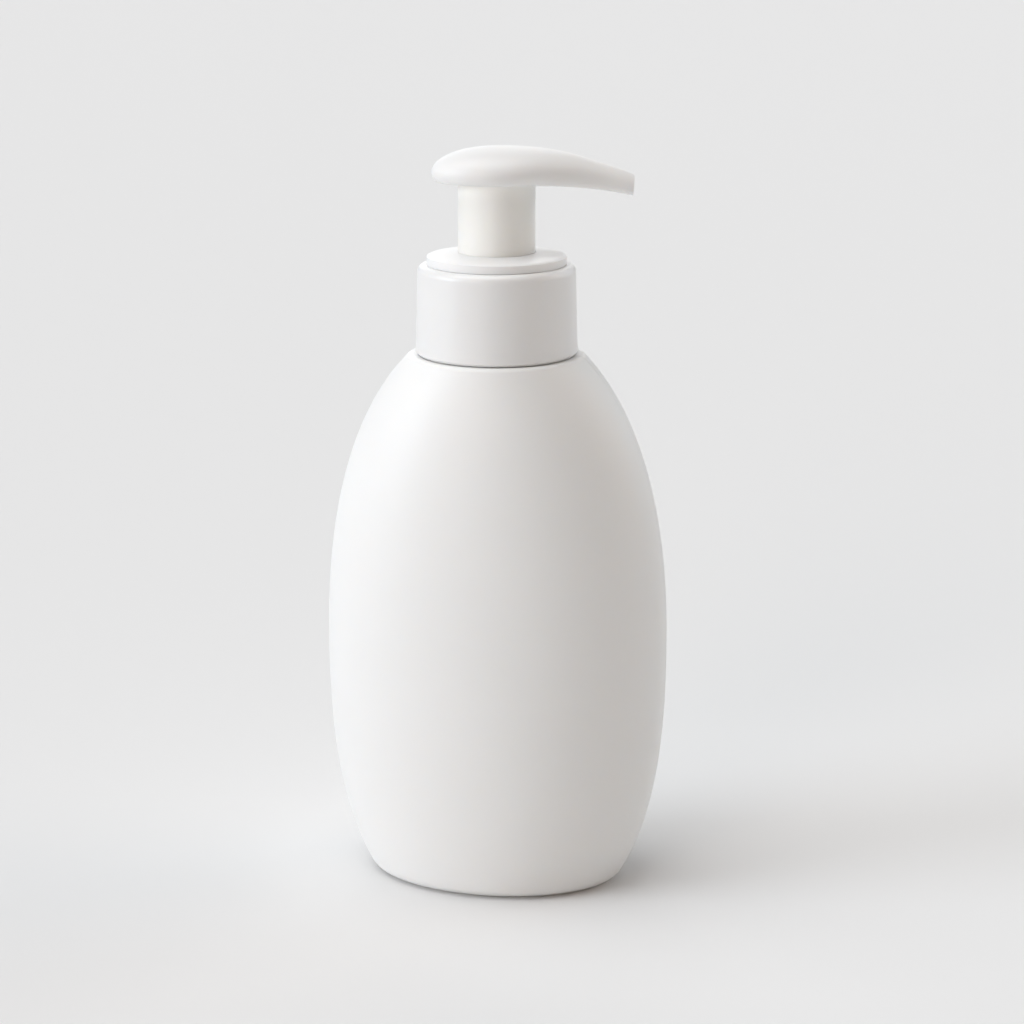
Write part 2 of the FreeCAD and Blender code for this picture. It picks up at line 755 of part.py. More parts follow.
def head_skin(name, inset, stations, ruled=False):
    """The head's outside, or the same set in by a wall: half an ellipsoid behind the stem, and in
    front of it a beak that narrows and droops. It runs on below the underside, which is cut later."""
    body = doc.addObject("PartDesign::Body", name)
    reach_back = f"( head_back - {inset} )"
    half_width = f"( head_half_width - {inset} )"
    half_height = f"( head_dome - {inset} )"
    apex = new_sketch(body, f"{name}_apex", "YZ_Plane", f"0 - {reach_back}")
    apex.addGeometry(Part.Point(FreeCAD.Vector(0, number("head_middle"), 0)))
    apex.addConstraint(Sketcher.Constraint("PointOnObject", 0, 1, -2))
    level = Sketcher.Constraint("DistanceY", -1, 1, 0, 1, number("head_middle"))
    bind(apex, level, "level", "head_middle")
    sections = [apex]
    for angle in DOME_ANGLES:
        sections.append(head_section(
            body, f"{name}_dome_{angle}",
            f"0 - {reach_back} * sin ( {angle} )",
            f"{half_width} * cos ( {angle} )",
            f"head_middle + {half_height} * cos ( {angle} )",
            f"head_middle - {half_height} * cos ( {angle} )",
        ))
    beak = list(zip(BEAK_STATIONS, WIDTH_DRAWN_IN, TOP_DROPPED, FOOT_DROPPED))
    for share, narrowed, top_down, foot_down in beak[:stations]:
        top = f"crown - ( crown - {TIP_TOP} ) * {top_down}"
        foot = f"head_rim - ( head_rim - {TIP_FOOT} ) * {foot_down}"
        sections.append(head_section(
            body, f"{name}_beak_{int(100 * share)}",
            f"nozzle_reach * {share}",
            f"head_half_width - ( head_half_width - nozzle_half_width ) * {narrowed} - {inset}",
            f"{top} - {inset}",
            f"{top} - ( ( {top} ) - ( {foot} ) ) * 4 / 3 + {inset}",
            "nozzle_tilt" if share == 1.0 else None,
        ))
    lofted(body, f"{name}_loft", sections, ruled=ruled)
    return body


def cut_underside(body):
    """Cuts the head off below: flat under the dome, then curving down to the tip's foot. The edge
    round the underside is rounded."""
    side = new_sketch(body, "underside_outline", "XZ_Plane")
    flat_end = f"nozzle_reach * {FLAT_SHARE}"
    run = f"( nozzle_reach * {1 - FLAT_SHARE} )"
    fall = f"( head_rim - {TIP_FOOT} )"
    radius = f"( {run} * {run} + {fall} * {fall} ) / ( 2 * {fall} )"
    far, deep = "1.1 * nozzle_reach", "head_rim - 3 * head_dome"
    bend = FreeCAD.Vector(number(flat_end), number("head_rim"), 0)
    centre = FreeCAD.Vector(bend.x, number(f"head_rim - {radius}"), 0)
    across = number(far) - centre.x
    end = FreeCAD.Vector(number(far), centre.y + (number(radius) ** 2 - across**2) ** 0.5, 0)
    back = FreeCAD.Vector(number("0 - 2 * head_back"), bend.y, 0)
    deep_back = FreeCAD.Vector(back.x, number(deep), 0)
    deep_far = FreeCAD.Vector(end.x, deep_back.y, 0)
    circle = Part.Circle(centre, FreeCAD.Vector(0, 0, 1), number(radius))
    side.addGeometry(Part.LineSegment(back, bend))
    side.addGeometry(Part.ArcOfCircle(circle, circle.parameter(end), circle.parameter(bend)))
    side.addGeometry(Part.LineSegment(end, deep_far))
    side.addGeometry(Part.LineSegment(deep_far, deep_back))
    side.addGeometry(Part.LineSegment(deep_back, back))
    for first, second in (((0, 2), (1, 2)), ((1, 1), (2, 1)), ((2, 2), (3, 1)), ((3, 2), (4, 1)),
                          ((4, 2), (0, 1))):
        side.addConstraint(Sketcher.Constraint("Coincident", *first, *second))
    for kind, edge in (("Horizontal", 0), ("Vertical", 2), ("Horizontal", 3), ("Vertical", 4)):
        side.addConstraint(Sketcher.Constraint(kind, edge))
    for label, kind, edge, end_of_edge, text in (
        ("bend_across", "DistanceX", 0, 2, flat_end),
        ("bend_up", "DistanceY", 0, 2, "head_rim"),
        ("centre_across", "DistanceX", 1, 3, flat_end),
        ("centre_up", "DistanceY", 1, 3, f"head_rim - {radius}"),
        ("far_across", "DistanceX", 2, 1, far),
        ("deep_up", "DistanceY", 3, 1, deep),
        ("back_across", "DistanceX", 4, 2, "0 - 2 * head_back"),
    ):
        rule = Sketcher.Constraint(kind, -1, 1, edge, end_of_edge, number(text))
        bind(side, rule, label, text)
    cutting = body.newObject("PartDesign::Pocket", "underside")
    cutting.Profile = side
    cutting.Midplane = True
    cutting.setExpression("Length", size("4 * head_half_width"))
    side.Visibility = False
    doc.recompute()
    level = number("head_rim")
    names = [
        f"Edge{index}" for index, edge in enumerate(body.Shape.Edges, start=1)
        if max(abs(edge.BoundBox.ZMin - level), abs(edge.BoundBox.ZMax - level)) < 0.01
    ]
    edge_round = body.newObject("PartDesign::Fillet", "underside_edge")
    edge_round.Base = (cutting, names)
    edge_round.setExpression("Radius", size("head_edge"))
    doc.recompute()


def make_head():
    """The actuator: a domed, cored-out moulding with a drooping nozzle, a socket for the sleeve and
    a boss for the stem."""
    dome = head_skin("head_outside", "0", 5)
    cut_underside(dome)
    block = cylinder(
        "socket_block", "sleeve_radius + press_fit + socket_wall_thick", "head_rim - 1", "crown")
    duct = nozzle_bore("nozzle_duct", "channel_radius + channel_wall", "0")
    web = doc.addObject("Part::Box", "nozzle_web")
    web.setExpression("Length", size("nozzle_reach"))
    web.setExpression("Width", size("channel_wall"))
    web.setExpression("Height", size("crown - head_rim"))
    web.setExpression("Placement.Base.y", size("0 - channel_wall / 2"))
    web.setExpression("Placement.Base.z", size("head_rim"))
    kept = fuse("kept_in_the_core", block, duct, web)
    core = cut("head_core", head_skin("head_inside", "head_wall", 2, ruled=True), kept)
    shell = cut("head_shell", dome, core)
    socket = cylinder("sleeve_socket", "sleeve_radius + press_fit", "head_rim - 1", "socket_ceiling")
    open_head = cut("head_with_socket", shell, socket)
    boss_foot = "socket_ceiling - boss_depth"
    boss = cylinder("stem_boss", "boss_radius", boss_foot, "socket_ceiling + head_roof / 4")
    solid_head = fuse("head_with_boss", open_head, boss)
    stem_hole = cylinder(
        "stem_hole", "stem_radius + press_fit", f"{boss_foot} - 1", "socket_ceiling")
    feed = cylinder("feed_hole", "stem_bore", "socket_ceiling - 1", "channel_level")
    bore = nozzle_bore("nozzle_channel", "channel_radius", "0 - 0.6 * channel_radius")
    head = cut("head_solid", solid_head, fuse("head_bores", stem_hole, feed, bore))
    head.setExpression("Placement.Rotation.Angle", size("head_heading"))
    doc.recompute()
    return head


def nozzle_bore(name, radius, start):
    """A round solid on the nozzle's sloping channel, from beside the stem to beyond the tip."""
    solid = doc.addObject("Part::Cylinder", name)
    solid.setExpression("Radius", size(radius))
    solid.setExpression("Height", size(f"( 1.2 * nozzle_reach - ( {start} ) ) / cos ( channel_slope )"))
    solid.Placement = FreeCAD.Placement(FreeCAD.Vector(), FreeCAD.Rotation(FreeCAD.Vector(0, 1, 0), 90))
    solid.setExpression("Placement.Rotation.Angle", size("90 + channel_slope"))
    rise = f"( nozzle_reach - ( {start} ) ) * tan ( channel_slope )"
    solid.setExpression("Placement.Base.x", size(start))
    solid.setExpression("Placement.Base.z", size(f"tip_middle + {rise}"))
    return solid


# ---------------------------------------------------------------------------------------------
# The whole object
# ---------------------------------------------------------------------------------------------

piece("bottle", make_bottle())
piece("closure", make_closure())
piece("gasket", make_gasket())
piece("lock_ring", make_lock_ring())
piece("pump_housing", make_housing())
piece("dip_tube", make_dip_tube())
piece("inlet_ball", make_inlet_ball())
piece("cylinder_bushing", make_bushing())
piece("return_spring", make_spring())
piece("stem", make_stem())
piece("valve_rod", make_valve_rod())
piece("piston", make_piston())
piece("sleeve", make_sleeve())
piece("actuator_head", make_head())

doc.recompute()
for thing in doc.Objects:
    if "Invalid" in thing.State or "Error" in thing.State:
        raise RuntimeError(f"{thing.Name} did not build: {thing.State}")
for name, solid in PIECES.items():
    if solid.Shape.isNull() or not solid.Shape.isValid() or len(solid.Shape.Solids) != 1:
        raise RuntimeError(f"{name} is not one valid solid")

os.makedirs("parts", exist_ok=True)
for name, solid in PIECES.items():
    solid.Shape.exportStep(f"parts/{name}.step")
    print(f"{name}: {solid.Shape.Volume / 1000:.3f} cubic centimetres")
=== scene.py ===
# %% [markdown]
# # A white pump bottle of baby wash
# The bottle comes from the CAD model, where every piece has its true size and place. What is made
# here is what a solid model leaves out: the screw threads, the fine seam that a blow mould leaves,
# the round wire of the spring, the finish of each plastic, and the studio that it stands in.
# Everything is in metres, with +Z up and the bottle standing on the plane at zero.

from math import atan2, cos, pi, radians, sin

import bpy
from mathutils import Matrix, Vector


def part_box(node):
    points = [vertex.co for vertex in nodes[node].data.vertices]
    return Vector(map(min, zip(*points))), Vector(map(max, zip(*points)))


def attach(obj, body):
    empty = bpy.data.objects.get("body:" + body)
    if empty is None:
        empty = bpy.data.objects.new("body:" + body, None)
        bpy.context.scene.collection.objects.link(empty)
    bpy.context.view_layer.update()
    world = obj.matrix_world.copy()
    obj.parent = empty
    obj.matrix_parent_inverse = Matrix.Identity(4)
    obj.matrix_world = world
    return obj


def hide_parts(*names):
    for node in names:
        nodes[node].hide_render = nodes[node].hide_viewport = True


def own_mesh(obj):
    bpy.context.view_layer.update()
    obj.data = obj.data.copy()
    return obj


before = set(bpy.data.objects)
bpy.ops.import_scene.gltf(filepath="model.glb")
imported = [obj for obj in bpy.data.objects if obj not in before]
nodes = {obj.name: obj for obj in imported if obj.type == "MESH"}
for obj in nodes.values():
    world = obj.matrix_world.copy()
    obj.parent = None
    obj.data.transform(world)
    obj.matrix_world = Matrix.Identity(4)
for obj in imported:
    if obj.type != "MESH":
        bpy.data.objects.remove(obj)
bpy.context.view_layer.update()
MM = 0.001
print("pieces from the CAD model:", ", ".join(sorted(nodes)))

# %% [markdown]
# ## The camera
# The bottle is seen from a little above and a little to the right of its front, with a long lens
# from well over half a metre away, so its outline is nearly undistorted. A camera can be placed by
# moving it about in its own view; here its place is worked out from how far, how high and how far
# round it stands, which keeps it repeatable. A small sideways shift sets the bottle in the frame
# without turning the camera.

# %% Place the camera
CAMERA_TURN = 12.5       # degrees round from the front, towards the right
CAMERA_TILT = 14.01      # degrees down
CAMERA_AWAY = 630 * MM   # across the floor, from the bottle's axis
CAMERA_HIGH = 246.2 * MM  # above the floor
SENSOR_WIDTH = 36        # this and the lens are in millimetres, as Blender wants them
LENS = 96.43
SHIFT = 0.01494          # sideways, as a share of the picture's width


def begin():
    """Leaves nothing selected, since an operator acts on all that is."""
    bpy.ops.object.select_all(action="DESELECT")


begin()
turn = radians(CAMERA_TURN)
bpy.ops.object.camera_add(
    location=(CAMERA_AWAY * sin(turn), -CAMERA_AWAY * cos(turn), CAMERA_HIGH),
    rotation=(radians(90 - CAMERA_TILT), 0, turn),
)
camera = bpy.context.object
camera.data.sensor_width = SENSOR_WIDTH
camera.data.lens = LENS
camera.data.shift_x = SHIFT
bpy.context.scene.camera = camera
print("lens in millimetres:", LENS)

# %% [markdown]
# ## Writing a finish as sums
# A finish is a web of nodes. Wired by hand it is slow to read, so one small class stands for a
# wire: adding or multiplying two wires adds the Math node that does it, and every other node comes
# from one method, `node`. Lengths inside a finish are in metres, because Object coordinates are.

# %% A wire between nodes
class Wire:
    """One output of a node in a finish."""

    def __init__(self, tree, socket=None):
        self.tree, self.socket = tree, socket

    def node(self, kind, settings=None, values=None, take=0):
        """A new node: first its settings, then the value or the wire of each socket.

        The wire that comes back is the output called `take`, or numbered so.
        """
        made = self.tree.nodes.new(kind)
        for name, value in (settings or {}).items():
            setattr(made, name, value)
        for name, value in (values or {}).items():
            if isinstance(value, Wire):
                self.tree.links.new(value.socket, made.inputs[name])
            else:
                made.inputs[name].default_value = value
        return Wire(self.tree, made.outputs[take] if made.outputs else None)

    def maths(self, operation, *values):
        """A Math node on plain values or wires."""
        return self.node("ShaderNodeMath", {"operation": operation}, dict(enumerate(values)))

    def __add__(self, other):
        return self.maths("ADD", self, other)

    def __sub__(self, other):
        return self.maths("SUBTRACT", self, other)

    def __rsub__(self, other):
        return self.maths("SUBTRACT", other, self)

    def __mul__(self, other):
        return self.maths("MULTIPLY", self, other)

    __radd__, __rmul__ = __add__, __mul__

    def ramp(self, low, high):
        """0 below low, 1 above high, and a smooth rise between them; low may be the larger."""
        return self.node("ShaderNodeMapRange", {"interpolation_type": "SMOOTHSTEP"},
                         {"Value": self, "From Min": low, "From Max": high})

    def axis(self, letter):
        """One coordinate of a place."""
        return self.node("ShaderNodeSeparateXYZ", None, {0: self}, take=letter)

    def noise(self, size, detail=2.0, stretch=(1, 1, 1)):
        """Soft random patches about `size` across, from -0.5 to 0.5, stretched along the axes."""
        place = self
        if stretch != (1, 1, 1):
            place = self.node("ShaderNodeMapping", None,
                              {"Vector": self, "Scale": tuple(1 / s for s in stretch)})
        return self.node("ShaderNodeTexNoise", None,
                         {"Vector": place, "Scale": 1 / size, "Detail": detail}) - 0.5

    def blend(self, first, second):
        """The first colour where this wire is 0, and the second where it is 1."""
        return self.node("ShaderNodeMix", {"data_type": "RGBA"},
                         {0: self, 6: (*first, 1), 7: (*second, 1)}, take=2)

# %% [markdown]
# Every finish starts with the place on the piece and ends with the same three nodes. White plastic
# also scatters the light under its skin, a little further for red than for blue.

# %% Starting and ending a finish
NOISE_SPREAD = 1.6       # noise keeps near its middle, so it is spread to reach both tints
UNDER_SKIN = (1.0, 0.85, 0.7)   # how far red, green and blue light goes under white plastic


def new_finish(name):
    """An empty finish, and the wire that carries the place on the piece."""
    finish = bpy.data.materials.new(name)
    finish.use_nodes = True
    finish.node_tree.nodes.clear()
    return finish, Wire(finish.node_tree).node("ShaderNodeTexCoord", take="Object")


def close_finish(place, colour, roughness, relief, **constants):
    """The surface itself. `relief` is the height of the fine surface, in metres."""
    bumped = place.node("ShaderNodeBump", None,
                        {"Height": relief, "Distance": 1.0, "Strength": 1.0})
    constants = {name.replace("_", " "): value for name, value in constants.items()}
    surface = place.node("ShaderNodeBsdfPrincipled", None,
                         {"Base Color": colour, "Roughness": roughness, "Normal": bumped,
                          **constants})
    place.node("ShaderNodeOutputMaterial", None, {"Surface": surface})


def put_on(finish, *names):
    """Dresses CAD pieces in a finish."""
    for name in names:
        for spot in nodes[name].material_slots:
            spot.material = finish
    print(finish.name, "on", ", ".join(names))

# %% [markdown]
# ## The blown bottle
# The bottle is white high-density polyethylene, blown in a mould whose faces were sandblasted, so
# it is satin: no sharp reflections, and a very fine orange peel. Polyethylene lets a little light
# in under its skin, which softens the shade. The tube of soft plastic that was blown up leaves
# faint lines up the bottle, and the skin is never perfectly even, so it waves by a few hundredths
# of a millimetre. The belly and the heel rub against other bottles in the carton and are a little
# worn. A picture of plastic would repeat and blur close up; noise at each of those sizes doesn't.

# %% Bottle finish
PEEL_DEPTH, GRIT_DEPTH, LINE_DEPTH, SWAY_DEPTH = 0.006 * MM, 0.0012 * MM, 0.007 * MM, 0.08 * MM

finish_bottle, place = new_finish("blown_polyethylene")
height = place.axis("Z")
cloud = place.noise(24 * MM)
peel = place.noise(1.1 * MM, 3)
grit = place.noise(0.32 * MM, 1)
lines = place.noise(1.8 * MM, 2, stretch=(1, 1, 60))
sway = place.noise(33 * MM, 1)
scuff = place.noise(5 * MM, 5, stretch=(3, 3, 1)).ramp(0.03, 0.16)
belly = height.ramp(38 * MM, 52 * MM) * height.ramp(72 * MM, 58 * MM)
heel = height.ramp(5 * MM, 1.5 * MM)
worn = scuff * (belly * 0.5 + heel)
close_finish(
    place,
    colour=(cloud * NOISE_SPREAD + 0.5 + worn * 0.3).blend((0.846, 0.846, 0.838),
                                                           (0.86, 0.858, 0.848)),
    roughness=0.47 + cloud * 0.08 + grit * 0.06 - worn * 0.07,
    relief=peel * PEEL_DEPTH + grit * GRIT_DEPTH + lines * LINE_DEPTH + sway * SWAY_DEPTH,
    Subsurface_Weight=0.22, Subsurface_Radius=UNDER_SKIN, Subsurface_Scale=2.2 * MM,
    Specular_IOR_Level=0.5, IOR=1.5,
)
put_on(finish_bottle, "bottle")

# %% [markdown]
# ## The moulded closure, ring and head
# These are polypropylene, injection moulded in steel. The closure's and the ring's steel was
# turned and polished round the axis, so they shine a little more than the bottle, and the plastic
# copies those rings as hair-fine lines. Slow shallow waves come from uneven shrinking. The head's
# steel was smoothed by hand, in no direction, and left satin, but a thumb has polished its crown.
# One function makes all of these, since they differ in tint, in gloss and in how strongly each
# mark shows.

# %% Moulded finishes
WAVE_DEPTH, GRAIN_DEPTH = 0.022 * MM, 0.002 * MM


def moulded(name, tint, tint_warm, rough, rings=0.0, rub=0.0, skin=0.25):
    """White polypropylene: the finish, its place wire, and what close_finish needs.

    `rough` is the roughness, and less of it is glossier. `rings` and `rub` are the depths of turned
    and of rubbed lines, in metres, and `skin` is the share of the light that goes in under the
    surface.
    """
    finish, place = new_finish(name)
    cloud = place.noise(12 * MM)
    fine = place.noise(0.5 * MM, 2)
    relief = place.noise(9 * MM, 1) * WAVE_DEPTH + place.noise(0.9 * MM, 2) * GRAIN_DEPTH
    if rings:
        relief = relief + place.noise(0.35 * MM, 2, stretch=(60, 60, 1)) * rings
    if rub:
        relief = relief + place.noise(0.4 * MM, 2, stretch=(1, 1, 50)) * rub
    return finish, place, dict(
        colour=(cloud * NOISE_SPREAD + 0.5).blend(tint, tint_warm),
        roughness=rough + cloud * 0.07 + fine * 0.05,
        relief=relief,
        Subsurface_Weight=skin, Subsurface_Radius=UNDER_SKIN, Subsurface_Scale=1.5 * MM,
    )


finish_closure, place, look = moulded(
    "closure_polypropylene", (0.815, 0.815, 0.812), (0.825, 0.823, 0.818), 0.34,
    rings=0.0015 * MM)
close_finish(place, Specular_IOR_Level=0.6, **look)
put_on(finish_closure, "closure")

finish_ring, place, look = moulded(
    "ring_polypropylene", (0.860, 0.860, 0.857), (0.870, 0.868, 0.863), 0.40, rings=0.002 * MM)
close_finish(place, **look)
put_on(finish_ring, "lock_ring")

# %% Head finish
head_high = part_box("actuator_head")[1]
finish_head, place, look = moulded(
    "head_polypropylene", (0.835, 0.835, 0.832), (0.846, 0.844, 0.838), 0.48)
crown = place.axis("Z").ramp(head_high.z - 4 * MM, head_high.z - 1 * MM)
behind_beak = place.axis("X").ramp(13 * MM, 4 * MM)
thumb = crown * behind_beak * (place.noise(6 * MM, 1) + 0.8)
look["roughness"] = look["roughness"] - thumb * 0.07
close_finish(place, **look)
put_on(finish_head, "actuator_head")

# %% [markdown]
# ## The sliding sleeve
# The sleeve under the head is a plain tube in a slightly creamier polypropylene, left without
# whitener's blue tint. It slides in the ring each time that the head is pressed, which leaves
# fine upright rub marks on a glossy surface.

# %% Sleeve finish
finish_sleeve, place, look = moulded(
    "sleeve_polypropylene", (0.915, 0.905, 0.865), (0.922, 0.913, 0.877), 0.30, rub=0.0016 * MM)
rubbed = place.noise(0.7 * MM, 3, stretch=(1, 1, 40)).ramp(-0.05, 0.2)
look["roughness"] = look["roughness"] + rubbed * 0.1
close_finish(place, **look)
put_on(finish_sleeve, "sleeve")

# %% [markdown]
# ## The parts inside the pump
# The housing and the bushing are natural polypropylene with no pigment, milky like candle wax. The
# stem and the rod are the same plastic with a little white in it. The piston and the dip tube are
# soft low-density polyethylene, greyer and waxier, and the tube shows the lines of the die that it
# was drawn through. Light goes further into most of them than into white plastic.

# %% Inner finishes
INNER = (                # name, tint, warmer tint, roughness, depths of the lines, skin, pieces
    ("natural_polypropylene", (0.76, 0.77, 0.75), (0.80, 0.80, 0.77), 0.36,
     {"rings": 0.0012 * MM}, 0.35, ("pump_housing", "cylinder_bushing")),
    ("stem_polypropylene", (0.82, 0.82, 0.80), (0.84, 0.838, 0.82), 0.38,
     {"rub": 0.0015 * MM}, 0.2, ("stem", "valve_rod")),
    ("piston_polyethylene", (0.74, 0.76, 0.75), (0.79, 0.80, 0.78), 0.5,
     {"rings": 0.001 * MM}, 0.3, ("piston",)),
    ("drawn_polyethylene", (0.72, 0.74, 0.73), (0.78, 0.79, 0.775), 0.44,
     {"rub": 0.0025 * MM}, 0.4, ("dip_tube",)),
)
for name, tint, tint_warm, rough, depths, skin, pieces in INNER:
    finish, place, look = moulded(name, tint, tint_warm, rough, skin=skin, **depths)
    close_finish(place, **look)
    put_on(finish, *pieces)

# %% [markdown]
# ## The foam gasket
# The gasket is punched from expanded polyethylene sheet. Its cells are a few tenths of a
# millimetre across, closed on the faces and cut open round the edge, so it is matt, with small
# pits. The pits are dented, and their colour is darkened as painted shade. Cells are what the
# Voronoi texture draws.

# %% Gasket finish
CELL = 0.45 * MM
PIT_DEPTH, DENT_DEPTH = 0.05 * MM, 0.03 * MM

finish_foam, place = new_finish("expanded_polyethylene")
cell = place.node("ShaderNodeTexVoronoi", None, {"Vector": place, "Scale": 1 / CELL})
# Near each cell's middle there is a dent in the relief, and a darker colour that is painted shade.
pit_and_painted_shade = cell.ramp(0.35, 0.1)
close_finish(
    place,
    colour=pit_and_painted_shade.blend((0.83, 0.83, 0.81), (0.66, 0.66, 0.64)),
    roughness=0.8 + pit_and_painted_shade * 0.1,
    relief=place.noise(2 * MM) * DENT_DEPTH - pit_and_painted_shade * PIT_DEPTH,
    Subsurface_Weight=0.2, Subsurface_Radius=(1.0, 0.9, 0.8), Subsurface_Scale=0.6 * MM,
)
put_on(finish_foam, "gasket")

# %% [markdown]
# ## Steel
# The spring is drawn stainless wire and the ball is ground and lapped. Both are bare metal: their
# colour is the colour of their reflections, a warm grey, with faint cloudy stains and fine
# scratches that catch the light.

# %% Steel finish
SCRATCH_DEPTH = 0.0008 * MM

finish_steel, place = new_finish("stainless_steel")
stain = place.noise(3 * MM, 3)
scratch = place.noise(0.12 * MM, 2, stretch=(6, 6, 1))
close_finish(
    place,
    colour=(stain * 1.5 + 0.5).blend((0.50, 0.49, 0.47), (0.62, 0.61, 0.59)),
    roughness=0.24 + stain * 0.12 + scratch * 0.1,
    relief=scratch * SCRATCH_DEPTH,
    Metallic=1.0,
)
put_on(finish_steel, "inlet_ball", "return_spring")

# %% [markdown]
# ## Working on one mesh
# Two short helpers pick points and faces by their place, as a hand would pick them with the mouse,
# and a third finishes a piece: its name, its finish, its smooth shading, and the body of the CAD
# model that it moves with.

# %% Helpers for modelling
def pick(piece, wanted):
    """In edit mode, selects the points of a piece whose place passes a test."""
    bpy.ops.mesh.select_all(action="DESELECT")
    bpy.ops.object.mode_set(mode="OBJECT")
    for point in piece.data.vertices:
        point.select = wanted(point.co)
    bpy.ops.object.mode_set(mode="EDIT")


def pick_faces(piece, wanted):
    """The same for faces, by their middle and the way that they face."""
    bpy.ops.mesh.select_all(action="DESELECT")
    bpy.ops.object.mode_set(mode="OBJECT")
    for face in piece.data.polygons:
        face.select = wanted(face.center, face.normal)
    bpy.ops.object.mode_set(mode="EDIT")


def take_up(piece):
    """Makes a piece the only one selected, and the active one."""
    begin()
    piece.select_set(True)
    bpy.context.view_layer.objects.active = piece


def settle(piece, name, finish, body, smooth=40):
    """Names a finished piece, dresses it and makes it ride on its body."""
    piece.name = piece.data.name = name
    piece.data.materials.clear()
    piece.data.materials.append(finish)
    take_up(piece)
    bpy.ops.object.shade_smooth_by_angle(angle=radians(smooth))
    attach(piece, body)
    print(name, "has", len(piece.data.polygons), "faces")

# %% [markdown]
# ## The screw threads
# The neck carries one and a half turns of thread, and the closure the thread that draws it down.
# Both rise 4.233 mm a turn, which is six turns to the inch. A thread could be cut or wound: here a
# flat four-sided outline, wide at the wall and narrow at the crest, is wound up the wall by a Screw
# modifier. Its two ends then sink into the wall, because a real thread runs out so that it can
# start.

# %% Wind the threads
PITCH = 4.233 * MM
TURNS = 1.5
STEPS = 48               # round one turn
RUN_OUT = 6              # steps over which an end sinks into the wall
SINK_POWER = 1.5         # above 1, an end leaves the crest gently and dives at last
CREST_EDGE = 0.22 * MM   # rounding of the crest's two edges
NEAR = 0.01 * MM         # points nearer than this count as at the same place


def thread(wall, crest, foot, root_width, crest_width):
    """A thread on a wall of radius `wall`, up from the height `foot` of its middle."""
    begin()
    centre = ((wall + crest) / 2, 0, foot)
    bpy.ops.mesh.primitive_plane_add(size=1, location=centre, rotation=(pi / 2, 0, 0))
    piece = bpy.context.object
    bpy.ops.object.transform_apply()
    bpy.ops.object.mode_set(mode="EDIT")
    bpy.ops.transform.resize(value=(abs(crest - wall), 1, root_width), center_override=centre)
    pick(piece, lambda at: abs(at.x - crest) < NEAR)
    bpy.ops.transform.resize(value=(1, 1, crest_width / root_width), center_override=centre)
    bpy.ops.mesh.bevel(offset=CREST_EDGE, segments=3, affect="VERTICES")
    bpy.ops.mesh.select_all(action="SELECT")
    bpy.ops.mesh.delete(type="ONLY_FACE")
    bpy.ops.object.mode_set(mode="OBJECT")

    last = int(STEPS * TURNS)
    wind = piece.modifiers.new("wind", "SCREW")
    wind.angle = 2 * pi * TURNS
    wind.screw_offset = PITCH * TURNS
    wind.steps = wind.render_steps = last
    bpy.ops.object.modifier_apply(modifier="wind")
    bpy.ops.object.mode_set(mode="EDIT")
    bpy.ops.mesh.select_all(action="SELECT")
    bpy.ops.mesh.fill_holes(sides=0)

    def step_at(at):
        """Which step of the winding a point belongs to."""
        share = atan2(at.y, at.x) / (2 * pi) % 1
        turn = round((at.z - foot) / PITCH - share)
        return round((turn + share) * STEPS)

    for n in range(RUN_OUT):
        sunk = 1 + (wall / crest - 1) * (1 - n / RUN_OUT) ** SINK_POWER
        pick(piece, lambda at: step_at(at) in (n, last - n))
        bpy.ops.transform.resize(value=(sunk, sunk, 1), center_override=(0, 0, 0))
    bpy.ops.mesh.select_all(action="SELECT")
    bpy.ops.mesh.normals_make_consistent(inside=False)
    bpy.ops.object.mode_set(mode="OBJECT")
    return piece


bottle_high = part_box("bottle")[1]
THREAD_FOOT = bottle_high.z - 8.3 * MM
BEHIND = 1.6 * MM        # the closure's thread runs this far under the neck's

neck_thread = thread(wall=14.95 * MM, crest=16.3 * MM, foot=THREAD_FOOT,
                     root_width=2.2 * MM, crest_width=0.9 * MM)
settle(neck_thread, "neck_thread", finish_bottle, "bottle")
closure_thread = thread(wall=16.6 * MM, crest=15.25 * MM, foot=THREAD_FOOT - BEHIND,
                        root_width=2.0 * MM, crest_width=0.8 * MM)
settle(closure_thread, "closure_thread", finish_closure, "closure")

# %% [markdown]
# ## The seam of the mould
# Where the two halves of the mould meet, up both narrow sides of the bottle, the plastic keeps a
# ridge about a tenth of a millimetre wide. It follows the bottle's own outline, so it is taken from
# it: a copy of the bottle's outside is cut by the plane between the halves, which leaves just that
# outline, and a thin bevel round the outline makes the ridge.

# %% Seam
SHARP = 0.00001 * MM     # points nearer than this to a cutting plane count as on it
SEAM = 0.04 * MM         # how far the ridge stands out
SEAM_FOOT, SEAM_TOP = 0.3 * MM, bottle_high.z - 1 * MM   # it runs between these heights
BASE_TOP = 20 * MM       # a face that looks up, below this, is the inside of the base


def is_inside(at, way):
    """Whether a face of the bottle looks towards its axis, or up from its floor."""
    return way.x * at.x + way.y * at.y < 0 or (way.z > 0.9 and at.z < BASE_TOP)


seam = bpy.data.objects.new("seam", nodes["bottle"].data.copy())
bpy.context.scene.collection.objects.link(seam)
take_up(seam)
bpy.ops.object.mode_set(mode="EDIT")
bpy.ops.mesh.select_all(action="SELECT")
bpy.ops.mesh.remove_doubles(threshold=0.001 * MM)
pick_faces(seam, is_inside)
bpy.ops.mesh.delete(type="FACE")
bpy.ops.mesh.select_all(action="SELECT")
bpy.ops.mesh.bisect(plane_co=(0, 0, 0), plane_no=(0, 1, 0), clear_inner=True, clear_outer=True,
                    threshold=SHARP)
pick(seam, lambda at: at.z < SEAM_FOOT or at.z > SEAM_TOP)
bpy.ops.mesh.delete(type="VERT")
bpy.ops.object.mode_set(mode="OBJECT")
bpy.ops.object.convert(target="CURVE")
seam.data.bevel_depth = SEAM
seam.data.bevel_resolution = 1
seam.data.use_fill_caps = True
bpy.ops.object.convert(target="MESH")
print("the seam stands out", SEAM / MM, "mm")

